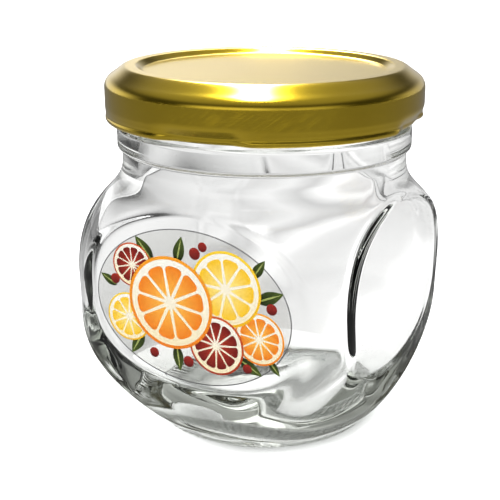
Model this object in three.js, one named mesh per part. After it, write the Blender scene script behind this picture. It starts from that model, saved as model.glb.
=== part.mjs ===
// A clear glass storage jar with a gold twist-off lid and an oval film label.
// The body is round in plan with four flat oval panels pressed into its sides.
// Millimetres, +Z up. The origin is the middle of the base, and the label faces -Y.

import * as THREE from "three";

// Driving dimensions of the whole
const HEIGHT = 78;
const ACROSS_FLATS = 65;

// Flats of the faceted model: steps round the axis, and along each stretch of a profile
const SEGMENTS = 64;
const BASE_STEPS = 4;
const HEEL_STEPS = 11;
const SHOULDER_STEPS = 10;
const INNER_HEEL_STEPS = 9;
const INNER_SHOULDER_STEPS = 8;
const SMALL_ROUND_STEPS = 3;
const HALF_ROUND_STEPS = 6;
const LABEL_SIDES = 48;

// Outside of the glass, as radii of the round form before the panels are pressed in
const BELLY_RADIUS = 41.1;
const BELLY_LOW = 25;
const BELLY_HIGH = 34.4;
const BASE_RADIUS = 24.4;
const BEARING_INNER_RADIUS = 18.8;
const PUSH_UP = 1.2;
const HEEL_RISE = 0.4;
const HEEL_PULL = 11.2;
const HEEL_SLOPE = THREE.MathUtils.degToRad(34);
const BELLY_PULL = 9.7;
const WAIST_RADIUS = 30.7;
const WAIST_HEIGHT = 58.4;
const SHOULDER_PULL = 16.7;
const WAIST_PULL = 8.4;
const PANEL_BLEND = 1.5;

// Below the panels the heel is drawn in, by a share of its radius that fades out at the corners
const HEEL_EASE = 0.115;
const HEEL_EASE_TOP = 34;
const CORNER_SOFTNESS = 0.25;

// Neck ring and the plain finish that the lid covers
const RING_RADIUS = 31.7;
const RING_LOW = 60.8;
const RING_HIGH = 65.6;
const RING_ROUND = 0.8;
const FINISH_RADIUS = 29.9;
const RIM_TOP = 76.9;

// Inside of the glass
const WALL = 2.8;
const MOUTH_RADIUS = 27.4;
const FLOOR_HEIGHT = 4.6;
const FLOOR_RADIUS = 16;
const INNER_HEEL_PULL = 9;
const INNER_BELLY_LOW = 29;
const INNER_BELLY_PULL = 13;
const INNER_WAIST_HEIGHT = 57.5;
const INNER_PANEL_BLEND = 1.8;

// Lid pressed from sheet metal, with a rolled edge and four lugs bent in under the skirt
const LID_RADIUS = 34;
const LID_BOTTOM = 66.7;
const SHEET = 0.4;
const CURL_RADIUS = 0.75;
const SHOULDER_HEIGHT = 73.7;
const SHOULDER_ROUND = 2.7;
const TOP_SLOPE_DEGREES = 60;
const RIDGE_INNER_RADIUS = 27.6;
const RIDGE_OUTER_RADIUS = 29.4;
const DISC_RADIUS = 25.5;
const DISC_DROP = 1.1;
const LUG_COUNT = 4;
const LUG_TURN = THREE.MathUtils.degToRad(5.8);
const LUG_HALF_WIDTH = THREE.MathUtils.degToRad(19);
const LUG_HEIGHT = 3.8;
const LUG_DEPTH = 1.6;

// Clear film label on the front panel
const LABEL_WIDTH = 45;
const LABEL_HEIGHT = 32.4;
const LABEL_OFFSET = 0.6;
const LABEL_MIDDLE = 33.4;
const LABEL_THICKNESS = 0.15;
const LABEL_GAP = 0.05;

const point = (radius, height) => new THREE.Vector2(radius, height);

// Points along a cubic curve, without its first point
function curvePoints(from, pullFrom, pullTo, to, steps) {
  return new THREE.CubicBezierCurve(from, pullFrom, pullTo, to).getPoints(steps).slice(1);
}

// Points along a circular arc in the profile plane, with both its ends
function arcPoints(centre, radius, fromDegrees, toDegrees, steps) {
  const from = THREE.MathUtils.degToRad(fromDegrees);
  const to = THREE.MathUtils.degToRad(toDegrees);
  const arc = new THREE.EllipseCurve(centre.x, centre.y, radius, radius, from, to, to < from, 0);
  return arc.getPoints(steps);
}

// The outer glass line, from the middle of the base up to the root of the rim
function outerProfile() {
  const underside = point(0, PUSH_UP);
  const bearing = point(BEARING_INNER_RADIUS, 0);
  const heel = point(BASE_RADIUS + HEEL_RISE, HEEL_RISE);
  const heelPull = heel.clone().add(
    point(HEEL_PULL * Math.cos(HEEL_SLOPE), HEEL_PULL * Math.sin(HEEL_SLOPE)),
  );
  const bellyLow = point(BELLY_RADIUS, BELLY_LOW);
  const bellyHigh = point(BELLY_RADIUS, BELLY_HIGH);
  const waist = point(WAIST_RADIUS, WAIST_HEIGHT);
  const ringLow = point(RING_RADIUS - RING_ROUND, RING_LOW + RING_ROUND);
  const ringHigh = point(RING_RADIUS - RING_ROUND, RING_HIGH - RING_ROUND);
  return [
    underside,
    ...curvePoints(
      underside,
      point(BEARING_INNER_RADIUS / 2, PUSH_UP),
      point(BEARING_INNER_RADIUS / 2, 0),
      bearing,
      BASE_STEPS,
    ),
    point(BASE_RADIUS, 0),
    heel,
    ...curvePoints(heel, heelPull, point(BELLY_RADIUS, BELLY_LOW - BELLY_PULL), bellyLow, HEEL_STEPS),
    bellyHigh,
    ...curvePoints(
      bellyHigh,
      point(BELLY_RADIUS, BELLY_HIGH + SHOULDER_PULL),
      point(WAIST_RADIUS, WAIST_HEIGHT - WAIST_PULL),
      waist,
      SHOULDER_STEPS,
    ),
    point(WAIST_RADIUS, RING_LOW),
    ...arcPoints(ringLow, RING_ROUND, -90, 0, SMALL_ROUND_STEPS),
    ...arcPoints(ringHigh, RING_ROUND, 0, 90, SMALL_ROUND_STEPS),
    point(FINISH_RADIUS, RING_HIGH),
  ];
}

// The inner glass line, from the root of the rim down to the middle of the floor
function innerProfile() {
  const waist = point(MOUTH_RADIUS, INNER_WAIST_HEIGHT);
  const innerBelly = BELLY_RADIUS - WALL;
  const bellyHigh = point(innerBelly, BELLY_HIGH);
  const bellyLow = point(innerBelly, INNER_BELLY_LOW);
  const floorEdge = point(FLOOR_RADIUS, FLOOR_HEIGHT);
  return [
    waist,
    ...curvePoints(
      waist,
      point(MOUTH_RADIUS, INNER_WAIST_HEIGHT - WAIST_PULL),
      point(innerBelly, BELLY_HIGH + SHOULDER_PULL),
      bellyHigh,
      INNER_SHOULDER_STEPS,
    ),
    bellyLow,
    ...curvePoints(
      bellyLow,
      point(innerBelly, INNER_BELLY_LOW - INNER_BELLY_PULL),
      point(FLOOR_RADIUS + INNER_HEEL_PULL, FLOOR_HEIGHT),
      floorEdge,
      INNER_HEEL_STEPS,
    ),
    point(0, FLOOR_HEIGHT),
  ];
}

// The rounded lip that joins the finish to the mouth
function rimProfile() {
  const lip = (FINISH_RADIUS - MOUTH_RADIUS) / 2;
  const centre = point(MOUTH_RADIUS + lip, RIM_TOP - lip);
  return arcPoints(centre, lip, 0, 180, HALF_ROUND_STEPS);
}

// A coordinate held to a flat limit, with a rounded change over the blend on each side of it
function heldTo(limit, blend, value) {
  const size = Math.abs(value);
  const over = size - limit;
  if (over <= -blend) return value;
  const held = over >= blend ? limit : size - (over + blend) ** 2 / (4 * blend);
  return Math.sign(value) * held;
}

// A closed profile turned about the Z axis
function turned(profile) {
  return new THREE.LatheGeometry(profile, SEGMENTS).rotateX(Math.PI / 2);
}

// Moves each vertex of a geometry by a function of its position and its number
function reshape(geometry, move) {
  const positions = geometry.getAttribute("position");
  const vertex = new THREE.Vector3();
  for (let index = 0; index < positions.count; index += 1) {
    vertex.fromBufferAttribute(positions, index);
    move(vertex, index);
    positions.setXYZ(index, vertex.x, vertex.y, vertex.z);
  }
  geometry.computeVertexNormals();
  return geometry;
}

// How much of its radius the heel keeps: least under the middle of a panel, all of it at a corner
function heelScale(vertex) {
  if (vertex.z >= HEEL_EASE_TOP || vertex.z <= 0) return 1;
  const towardsPanel = Math.cos(2 * Math.atan2(vertex.x, vertex.y));
  const soft = (value) => Math.hypot(value, CORNER_SOFTNESS) - CORNER_SOFTNESS;
  const rise = Math.sin((Math.PI * vertex.z) / HEEL_EASE_TOP);
  return 1 - (HEEL_EASE * rise * soft(towardsPanel)) / soft(1);
}

// The glass: outer line, lip and inner line turned as one wall, then pressed flat on four sides
function jarGeometry() {
  const outer = outerProfile();
  const profile = [...outer, ...rimProfile(), ...innerProfile()];
  return reshape(turned(profile), (vertex, index) => {
    if (vertex.z >= WAIST_HEIGHT) return;
    const outside = index % profile.length < outer.length;
    const limit = ACROSS_FLATS / 2 - (outside ? 0 : WALL);
    const blend = outside ? PANEL_BLEND : INNER_PANEL_BLEND;
    const scale = heelScale(vertex);
    vertex.x = heldTo(limit, blend, vertex.x * scale);
    vertex.y = heldTo(limit, blend, vertex.y * scale);
  });
}

// The lid's section: along the underside, round the curl, up the skirt and back over the top
function lidProfile() {
  const disc = HEIGHT - DISC_DROP;
  const shoulder = point(LID_RADIUS - SHOULDER_ROUND, SHOULDER_HEIGHT);
  const curl = point(LID_RADIUS - CURL_RADIUS, LID_BOTTOM + CURL_RADIUS);
  const lugTop = LID_BOTTOM + LUG_HEIGHT;
  return [
    point(0, disc - SHEET),
    point(DISC_RADIUS + SHEET, disc - SHEET),
    point(RIDGE_INNER_RADIUS + SHEET / 2, HEIGHT - SHEET),
    point(RIDGE_OUTER_RADIUS - SHEET / 2, HEIGHT - SHEET),
    ...arcPoints(shoulder, SHOULDER_ROUND - SHEET, TOP_SLOPE_DEGREES, 0, SMALL_ROUND_STEPS),
    point(LID_RADIUS - SHEET, lugTop),
    point(LID_RADIUS - SHEET, curl.y + 2 * CURL_RADIUS),
    point(curl.x - CURL_RADIUS, curl.y + CURL_RADIUS / 2),
    ...arcPoints(curl, CURL_RADIUS, 180, 360, HALF_ROUND_STEPS),
    point(LID_RADIUS, curl.y + 2 * CURL_RADIUS),
    point(LID_RADIUS, lugTop),
    ...arcPoints(shoulder, SHOULDER_ROUND, 0, TOP_SLOPE_DEGREES, SMALL_ROUND_STEPS),
    point(RIDGE_OUTER_RADIUS, HEIGHT - SHEET / 2),
    point(RIDGE_OUTER_RADIUS - SHEET, HEIGHT),
    point(RIDGE_INNER_RADIUS, HEIGHT),
    point(RIDGE_INNER_RADIUS - SHEET, HEIGHT - SHEET / 2),
    point(DISC_RADIUS, disc),
    point(0, disc),
  ];
}

// How far round a lug an angle lies: 1 at the middle of a lug, 0 between lugs
function lugShare(angle) {
  const pitch = (2 * Math.PI) / LUG_COUNT;
  const offset = THREE.MathUtils.euclideanModulo(angle - LUG_TURN + pitch / 2, pitch) - pitch / 2;
  return 1 - THREE.MathUtils.smoothstep(Math.abs(offset), LUG_HALF_WIDTH / 2, LUG_HALF_WIDTH);
}

// The lid: the section turned, with its lower edge bent inwards at the lugs
function lidGeometry() {
  return reshape(turned(lidProfile()), (vertex) => {
    const lowness = 1 - THREE.MathUtils.smoothstep(vertex.z, LID_BOTTOM, LID_BOTTOM + LUG_HEIGHT);
    const radius = Math.hypot(vertex.x, vertex.y);
    if (lowness === 0 || radius === 0) return;
    const angle = Math.atan2(vertex.x, -vertex.y);
    const scale = 1 - (LUG_DEPTH * lowness * lugShare(angle)) / radius;
    vertex.x *= scale;
    vertex.y *= scale;
  });
}

// The label: an oval of film standing upright against the front panel
function labelGeometry() {
  const oval = new THREE.Shape();
  oval.absellipse(0, 0, LABEL_WIDTH / 2, LABEL_HEIGHT / 2, 0, 2 * Math.PI, false, 0);
  const geometry = new THREE.ExtrudeGeometry(oval, {
    depth: LABEL_THICKNESS,
    bevelEnabled: false,
    curveSegments: LABEL_SIDES,
  });
  return geometry.rotateX(Math.PI / 2);
}

function namedMesh(name, geometry, colour, roughness, metalness) {
  const material = new THREE.MeshStandardMaterial({ color: colour, roughness, metalness });
  const mesh = new THREE.Mesh(geometry, material);
  mesh.name = name;
  return mesh;
}

const jar = namedMesh("jar", jarGeometry(), 0xe6eae8, 0.05, 0);
jar.material.transparent = true;
jar.material.opacity = 0.35;

const lid = namedMesh("lid", lidGeometry(), 0xc9a83a, 0.25, 1);

const label = namedMesh("label", labelGeometry(), 0xf2f2f4, 0.2, 0);
label.position.set(LABEL_OFFSET, -ACROSS_FLATS / 2 - LABEL_GAP, LABEL_MIDDLE);

const storageJar = new THREE.Group();
storageJar.add(jar, lid, label);

export default storageJar;
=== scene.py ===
"""Looks for a clear glass storage jar with a gold twist-off lid and an oval film label.

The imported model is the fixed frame. The jar and the lid are turned from profiles by Geometry Nodes,
at a finer step than the solids they stand for, and the label's print is thin flat shapes on its film.
Sizes are millimetres, and MM turns them to metres where a mesh or a tree takes them.
"""

import logging
import math
from dataclasses import dataclass, field
from enum import Enum
from typing import Any, Sequence

import bpy
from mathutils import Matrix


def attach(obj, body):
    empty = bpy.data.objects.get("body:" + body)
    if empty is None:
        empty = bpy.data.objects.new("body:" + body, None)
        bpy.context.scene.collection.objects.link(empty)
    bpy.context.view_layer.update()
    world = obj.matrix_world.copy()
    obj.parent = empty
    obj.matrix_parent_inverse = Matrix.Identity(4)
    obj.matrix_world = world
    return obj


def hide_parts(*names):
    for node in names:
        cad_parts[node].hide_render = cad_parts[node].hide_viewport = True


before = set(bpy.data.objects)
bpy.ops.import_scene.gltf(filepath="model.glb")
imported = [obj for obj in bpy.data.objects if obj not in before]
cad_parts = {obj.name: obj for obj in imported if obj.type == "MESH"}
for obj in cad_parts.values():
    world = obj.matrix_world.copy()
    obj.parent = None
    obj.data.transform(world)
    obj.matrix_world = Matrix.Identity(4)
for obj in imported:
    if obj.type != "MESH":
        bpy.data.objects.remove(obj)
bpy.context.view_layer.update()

LOG = logging.getLogger("storage_jar")

MM = 0.001
FULL_TURN = 2 * math.pi
BODY = "root"
FRAME_PIXELS = 500
SENSOR = 36.0
# Points closer than this are merged at seams and poles.
WELD = 0.001
# A face takes the lining where the mark of its points is over this.
LINING_FROM = 0.9
# The setting that a kind of node is chosen by, for a kind written as "kind:choice".
MAIN_CHOICE = {"ShaderNodeMapRange": "interpolation_type", "ShaderNodeMath": "operation",
               "ShaderNodeVectorMath": "operation"}

# Inputs that the tree of every turned piece has.
TURNED_INPUTS = {"Profile": "Geometry", "Segments": "Int", "Finish": "Material", "Lining": "Material"}

Point = tuple[float, float]
Stop = tuple[float, str]
Rows = dict[str, tuple[Any, ...]]


def linear(code: str, alpha: float = 1.0) -> tuple[float, float, float, float]:
    """Turns an sRGB hex colour to linear light.

    Args:
        code: Six hex digits, with or without a leading #.
        alpha: Opacity that goes with the colour.

    Returns:
        Linear red, green, blue and alpha.
    """
    shares = [int(code.lstrip("#")[i:i + 2], 16) / 255 for i in (0, 2, 4)]
    light = [s / 12.92 if s <= 0.04045 else ((s + 0.055) / 1.055) ** 2.4 for s in shares]
    return (light[0], light[1], light[2], alpha)


def wire(tree: bpy.types.NodeTree, rows: Rows) -> dict[str, bpy.types.Node]:
    """Adds nodes to a tree with their settings and links.

    Args:
        tree: Tree that gets the nodes.
        rows: For each node its name, with its kind, its settings if it has any, and its inputs. A kind
            may end in a colon and the node's main choice. An input takes a plain value, or "@name" or
            "@name:output" for the output of a node in an earlier row.

    Returns:
        The nodes by name.
    """
    made: dict[str, bpy.types.Node] = {}
    for name, (kind, *settings, inputs) in rows.items():
        kind, _, choice = kind.partition(":")
        node = made[name] = tree.nodes.new(kind)
        node.name = name
        if choice:
            setattr(node, MAIN_CHOICE[kind], choice)
        for key, value in settings[0].items() if settings else ():
            setattr(node, key, value)
        for key, value in inputs.items():
            if isinstance(value, str) and value.startswith("@"):
                source, _, output = value[1:].partition(":")
                tree.links.new(made[source].outputs[output or 0], node.inputs[key])
            else:
                node.inputs[key].default_value = value
    return made


def new_material(name: str, rows: Rows) -> bpy.types.Material:
    """Makes a material from rows of shader nodes.

    Args:
        name: Name of the real material.
        rows: Nodes as wire() takes them, the output node among them.

    Returns:
        The material.
    """
    material = bpy.data.materials.new(name)
    material.use_nodes = True
    material.node_tree.nodes.clear()
    wire(material.node_tree, rows)
    return material


def new_tree(name: str, inputs: dict[str, str], rows: Rows) -> bpy.types.NodeTree:
    """Makes a Geometry Nodes tree with named inputs and one geometry output.

    Args:
        name: Name of the tree.
        inputs: Names of the inputs and their kinds, such as Float or Geometry.
        rows: Nodes as wire() takes them; "in" is the group input, and the last row is the result.

    Returns:
        The tree.
    """
    tree = bpy.data.node_groups.new(name, "GeometryNodeTree")
    for label, kind in inputs.items():
        tree.interface.new_socket(label, in_out="INPUT", socket_type=f"NodeSocket{kind}")
    tree.interface.new_socket("Result", in_out="OUTPUT", socket_type="NodeSocketGeometry")
    last = list(rows)[-1]
    wire(tree, {"in": ("NodeGroupInput", {}), **rows, "out": ("NodeGroupOutput", {0: f"@{last}"})})
    return tree


def show(name: str, data: bpy.types.ID) -> bpy.types.Object:
    """Puts an object in the scene.

    Args:
        name: Name of the object.
        data: Its mesh or its camera.

    Returns:
        The object.
    """
    shown = bpy.data.objects.new(name, data)
    bpy.context.scene.collection.objects.link(shown)
    return shown


def grow(name: str, seed: bpy.types.Mesh, tree: bpy.types.NodeTree,
         values: dict[str, Any]) -> bpy.types.Object:
    """Runs a Geometry Nodes tree on a mesh and keeps the result as a plain mesh.

    Args:
        name: Name of the finished piece.
        seed: Mesh that the tree starts from.
        tree: The tree.
        values: Values of the tree's named inputs.

    Returns:
        The piece, at the origin and with no modifier.
    """
    piece = show(name, seed)
    modifier = piece.modifiers.new(tree.name, "NODES")
    modifier.node_group = tree
    for item in tree.interface.items_tree:
        if item.item_type == "SOCKET" and item.in_out == "INPUT" and item.name in values:
            modifier[item.identifier] = values[item.name]
    graph = bpy.context.evaluated_depsgraph_get()
    mesh = bpy.data.meshes.new_from_object(piece.evaluated_get(graph), depsgraph=graph)
    piece.modifiers.clear()
    piece.data = mesh
    mesh.name = name
    while None in list(mesh.materials):
        mesh.materials.pop(index=list(mesh.materials).index(None))
    bpy.data.meshes.remove(seed)
    return piece


def dress(piece: bpy.types.Object, slot: str, *nodes: str) -> None:
    """Ties a finished piece to the frame and reports it.

    Args:
        piece: The piece.
        slot: The record's material slot of the piece. It is not used.
        *nodes: CAD nodes that it stands for.
    """
    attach(piece, BODY)
    if nodes:
        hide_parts(*nodes)
    LOG.info("%s: %d faces, %s", piece.name, len(piece.data.polygons), ", ".join(nodes) or "added")


def bezier(start: Point, pull: Point, push: Point, end: Point, steps: int) -> list[Point]:
    """Gives the points of a cubic curve after its start.

    Args:
        start: First point, which is left out.
        pull: Control point next to the start.
        push: Control point next to the end.
        end: Last point.
        steps: Number of points.

    Returns:
        The points in order.
    """
    points = []
    for i in range(1, steps + 1):
        t = i / steps
        weights = ((1 - t) ** 3, 3 * t * (1 - t) ** 2, 3 * t * t * (1 - t), t ** 3)
        points.append(tuple(sum(w * p[k] for w, p in zip(weights, (start, pull, push, end))) for k in (0, 1)))
    return points


def straight(start: Point, end: Point, steps: int) -> list[Point]:
    """Gives evenly spaced points on a line after its start.

    Args:
        start: First point, which is left out.
        end: Last point.
        steps: Number of points.

    Returns:
        The points in order.
    """
    return [tuple(a + (b - a) * i / steps for a, b in zip(start, end)) for i in range(1, steps + 1)]


def arc(centre: Point, radius: float, first: float, last: float, steps: int) -> list[Point]:
    """Gives the points of an arc, both ends among them.

    Args:
        centre: Middle of the arc.
        radius: Its radius.
        first: Angle of the first point in degrees.
        last: Angle of the last point in degrees.
        steps: Number of steps between them.

    Returns:
        The points in order.
    """
    angles = [math.radians(first + (last - first) * i / steps) for i in range(steps + 1)]
    return [(centre[0] + radius * math.cos(a), centre[1] + radius * math.sin(a)) for a in angles]


def circle_angles(sides: int) -> list[float]:
    """Gives the angles of evenly spaced points on a circle, in radians."""
    return [FULL_TURN * i / sides for i in range(sides)]


def profile_mesh(name: str, points: Sequence[Point], marks: dict[str, Sequence[float]]) -> bpy.types.Mesh:
    """Makes the row of points that a turning tree reads.

    Args:
        name: Name of the mesh.
        points: Radius and height of each point in millimetres.
        marks: Attributes with one value for each point.

    Returns:
        A mesh of loose points in the XZ plane.
    """
    mesh = bpy.data.meshes.new(name)
    mesh.from_pydata([(r * MM, 0.0, z * MM) for r, z in points], [], [])
    for label, values in marks.items():
        mesh.attributes.new(label, "FLOAT", "POINT").data.foreach_set("value", list(values))
    return mesh


def turning_rows(marks: Sequence[str]) -> Rows:
    """Gives the nodes that every turned piece starts with.

    A grid has one row for each profile point and one column for each step round the axis. Each of its
    points looks up its profile point and its angle.

    Args:
        marks: Profile attributes to look up as well.

    Returns:
        Rows up to "spun", the place of each grid point before any shaping.
    """
    rows: Rows = {
        "rings": ("GeometryNodeAttributeDomainSize", {"component": "MESH"}, {"Geometry": "@in:Profile"}),
        "columns": ("ShaderNodeMath:ADD", {0: "@in:Segments", 1: 1.0}),
        "grid": ("GeometryNodeMeshGrid", {"Vertices X": "@rings:Point Count", "Vertices Y": "@columns"}),
        "index": ("GeometryNodeInputIndex", {}),
        "row": ("ShaderNodeMath:DIVIDE", {0: "@index", 1: "@columns"}),
        "ring": ("ShaderNodeMath:FLOOR", {0: "@row"}),
        "column": ("ShaderNodeMath:MODULO", {0: "@index", 1: "@columns"}),
        "share": ("ShaderNodeMath:DIVIDE", {0: "@column", 1: "@in:Segments"}),
        "angle": ("ShaderNodeMath:MULTIPLY", {0: "@share", 1: FULL_TURN}),
        "position": ("GeometryNodeInputPosition", {}),
        "point": ("GeometryNodeSampleIndex", {"data_type": "FLOAT_VECTOR"}, {
            "Geometry": "@in:Profile", "Value": "@position", "Index": "@ring"}),
        "part": ("ShaderNodeSeparateXYZ", {0: "@point"}),
        "sine": ("ShaderNodeMath:SINE", {0: "@angle"}),
        "cosine": ("ShaderNodeMath:COSINE", {0: "@angle"}),
        "across": ("ShaderNodeMath:MULTIPLY", {0: "@part:X", 1: "@sine"}),
        "back": ("ShaderNodeMath:MULTIPLY", {0: "@part:X", 1: "@cosine"}),
        "front": ("ShaderNodeMath:MULTIPLY", {0: "@back", 1: -1.0}),
        "spun": ("ShaderNodeCombineXYZ", {"X": "@across", "Y": "@front", "Z": "@part:Z"}),
    }
    for mark in marks:
        rows[f"{mark}_name"] = ("GeometryNodeInputNamedAttribute", {"data_type": "FLOAT"}, {"Name": mark})
        rows[mark] = ("GeometryNodeSampleIndex", {"data_type": "FLOAT"}, {
            "Geometry": "@in:Profile", "Value": f"@{mark}_name", "Index": "@ring"})
    return rows


def closing_rows(place: str) -> Rows:
    """Gives the nodes that every turned piece ends with.

    Args:
        place: Name of the node that gives each grid point its place.

    Returns:
        Rows that move the grid, close its seam and poles, and set its finishes.
    """
    return {
        "moved": ("GeometryNodeSetPosition", {"Geometry": "@grid", "Position": f"@{place}"}),
        "marked": ("GeometryNodeStoreNamedAttribute", {"data_type": "FLOAT", "domain": "POINT"}, {
            "Geometry": "@moved", "Name": "inside", "Value": "@inside"}),
        "unrolled": ("ShaderNodeCombineXYZ", {"X": "@share", "Y": "@row"}),
        "rolled": ("GeometryNodeStoreNamedAttribute", {"data_type": "FLOAT_VECTOR", "domain": "POINT"}, {
            "Geometry": "@marked", "Name": "rolled_out", "Value": "@unrolled"}),
        "sheet": ("GeometryNodeInputNamedAttribute", {"data_type": "FLOAT_VECTOR"}, {"Name": "rolled_out"}),
        "mapped": ("GeometryNodeStoreNamedAttribute", {"data_type": "FLOAT2", "domain": "CORNER"}, {
            "Geometry": "@rolled", "Name": "UVMap", "Value": "@sheet"}),
        "plain": ("GeometryNodeRemoveAttribute", {"Geometry": "@mapped", "Name": "rolled_out"}),
        "closed": ("GeometryNodeMergeByDistance", {"Geometry": "@plain", "Distance": WELD * MM}),
        "outward": ("GeometryNodeFlipFaces", {0: "@closed"}),
        "smooth": ("GeometryNodeSetShadeSmooth", {"Geometry": "@outward"}),
        "solid": ("GeometryNodeRealizeInstances", {"Geometry": "@smooth"}),
        "coat": ("GeometryNodeSetMaterial", {"Geometry": "@solid", "Material": "@in:Finish"}),
        "lined": ("GeometryNodeInputNamedAttribute", {"data_type": "FLOAT"}, {"Name": "inside"}),
        "lining": ("FunctionNodeCompare", {"data_type": "FLOAT", "operation": "GREATER_THAN"}, {
            0: "@lined", 1: LINING_FROM}),
        "done": ("GeometryNodeSetMaterial", {
            "Geometry": "@coat", "Selection": "@lining", "Material": "@in:Lining"}),
    }


@dataclass(frozen=True)
class ContainerGlass:
    """Soda-lime container glass, blown in a mould and fire polished.

    Gives the eye a clear body with dark thin outlines, soft ripples in what shows through it, and a
    faint grey-green where the wall is thick.
    """

    tint: str = "FBFBFB"
    thick_tint: str = "9AA68E"
    shadow_tint: str = "F0F3F1"
    density: float = 10.0
    ior: float = 1.52
    roughness: float = 0.0
    ripple_size: float = 14.0
    ripple_height: float = 0.05

    def material(self) -> bpy.types.Material:
        """Makes the glass, which lets lamps through to the floor."""
        return new_material("soda_lime_glass", {
            "where": ("ShaderNodeTexCoord", {}),
            "ripple": ("ShaderNodeTexNoise", {
                "Vector": "@where:Object", "Detail": 1.0, "Scale": 1 / (self.ripple_size * MM)}),
            "relief": ("ShaderNodeBump", {
                "Height": "@ripple", "Strength": 1.0, "Distance": self.ripple_height * MM}),
            "glass": ("ShaderNodeBsdfPrincipled", {
                "Base Color": linear(self.tint), "Roughness": self.roughness, "IOR": self.ior,
                "Transmission Weight": 1.0, "Normal": "@relief"}),
            "clear": ("ShaderNodeBsdfTransparent", {"Color": linear(self.shadow_tint)}),
            "ray": ("ShaderNodeLightPath", {}),
            "choice": ("ShaderNodeMixShader", {0: "@ray:Is Shadow Ray", 1: "@glass", 2: "@clear"}),
            "body": ("ShaderNodeVolumeAbsorption", {
                "Color": linear(self.thick_tint), "Density": self.density}),
            "out": ("ShaderNodeOutputMaterial", {"Surface": "@choice", "Volume": "@body"}),
        })


@dataclass(frozen=True)
class GoldLacquer:
    """Tinplate with a stoved transparent gold lacquer.

    Gives the eye a mirror of deep gold, paler where it is seen at a low angle, with fine rubbed lines
    low on the skirt. The lines are drawn wider than real ones so that they show.
    """

    pale: str = "E6C632"
    deep: str = "DAB824"
    roughness: float = 0.2
    worn_roughness: float = 0.34
    coat: float = 0.5
    coat_roughness: float = 0.12
    mottle_size: float = 9.0
    skirt_length: float = 213.6
    scratch_width: float = 0.22
    scratch_length: float = 5.0
    scratch_turn: float = 36.0
    rub_full: float = 72.0
    rub_end: float = 74.5
    patch_size: float = 22.0
    patch_span: tuple[float, float] = (0.44, 0.6)
    line_span: tuple[float, float] = (0.56, 0.7)
    peel_size: float = 2.2
    peel_height: float = 0.0008

    def material(self) -> bpy.types.Material:
        """Makes the lacquered metal, with its rubbed lines along the unrolled skirt."""
        made = new_material("gold_lacquered_tinplate", {
            "where": ("ShaderNodeTexCoord", {}),
            "mottle": ("ShaderNodeTexNoise", {
                "Vector": "@where:Object", "Detail": 2.0, "Scale": 1 / (self.mottle_size * MM)}),
            "colour": ("ShaderNodeValToRGB", {"Fac": "@mottle"}),
            "round": ("ShaderNodeSeparateXYZ", {0: "@where:UV"}),
            "high": ("ShaderNodeSeparateXYZ", {0: "@where:Object"}),
            "along": ("ShaderNodeMath:MULTIPLY", {0: "@round:X", 1: self.skirt_length * MM}),
            "unrolled": ("ShaderNodeCombineXYZ", {"X": "@along", "Y": "@high:Z"}),
            "turned": ("ShaderNodeMapping", {"vector_type": "TEXTURE"}, {
                "Vector": "@unrolled", "Rotation": (0.0, 0.0, math.radians(self.scratch_turn)),
                "Scale": (self.scratch_length * MM, self.scratch_width * MM, 1.0)}),
            "lines": ("ShaderNodeTexNoise", {"noise_dimensions": "2D"}, {
                "Vector": "@turned", "Detail": 0.0, "Scale": 1.0}),
            "patch": ("ShaderNodeTexNoise", {
                "Vector": "@where:Object", "Detail": 0.0, "Scale": 1 / (self.patch_size * MM)}),
            "rubbed": ("ShaderNodeMapRange:SMOOTHSTEP", {
                "Value": "@patch", "From Min": self.patch_span[0], "From Max": self.patch_span[1]}),
            "line": ("ShaderNodeMapRange:SMOOTHSTEP", {
                "Value": "@lines", "From Min": self.line_span[0], "From Max": self.line_span[1]}),
            "handled": ("ShaderNodeMapRange:SMOOTHSTEP", {
                "Value": "@high:Z", "From Min": self.rub_full * MM, "From Max": self.rub_end * MM,
                "To Min": 1.0, "To Max": 0.0}),
            "held": ("ShaderNodeMath:MULTIPLY", {0: "@rubbed", 1: "@handled"}),
            "wear": ("ShaderNodeMath:MULTIPLY", {0: "@held", 1: "@line"}),
            "rough": ("ShaderNodeMapRange", {
                "Value": "@wear", "To Min": self.roughness, "To Max": self.worn_roughness}),
            "peel": ("ShaderNodeTexNoise", {
                "Vector": "@where:Object", "Detail": 1.0, "Scale": 1 / (self.peel_size * MM)}),
            "scored": ("ShaderNodeMath:SUBTRACT", {0: "@peel", 1: "@wear"}),
            "relief": ("ShaderNodeBump", {
                "Height": "@scored", "Strength": 1.0, "Distance": self.peel_height * MM}),
            "metal": ("ShaderNodeBsdfPrincipled", {
                "Base Color": "@colour", "Metallic": 1.0, "Roughness": "@rough", "Normal": "@relief",
                "Coat Weight": self.coat, "Coat Roughness": self.coat_roughness}),
            "out": ("ShaderNodeOutputMaterial", {"Surface": "@metal"}),
        })
        set_ramp(made, ((0.0, self.deep), (1.0, self.pale)))
        return made


@dataclass(frozen=True)
class WhiteLacquer:
    """White food-safe lacquer, stoved on the underside of the tinplate.

    Gives the eye an even satin white with faint roller mottle.
    """

    light: str = "F2F0E8"
    shade: str = "E6E2D6"
    roughness: float = 0.4
    mottle_size: float = 3.0

    def material(self) -> bpy.types.Material:
        """Makes the lacquer."""
        return mottled("white_food_lacquer", self.light, self.shade, self.mottle_size, self.roughness)


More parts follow.
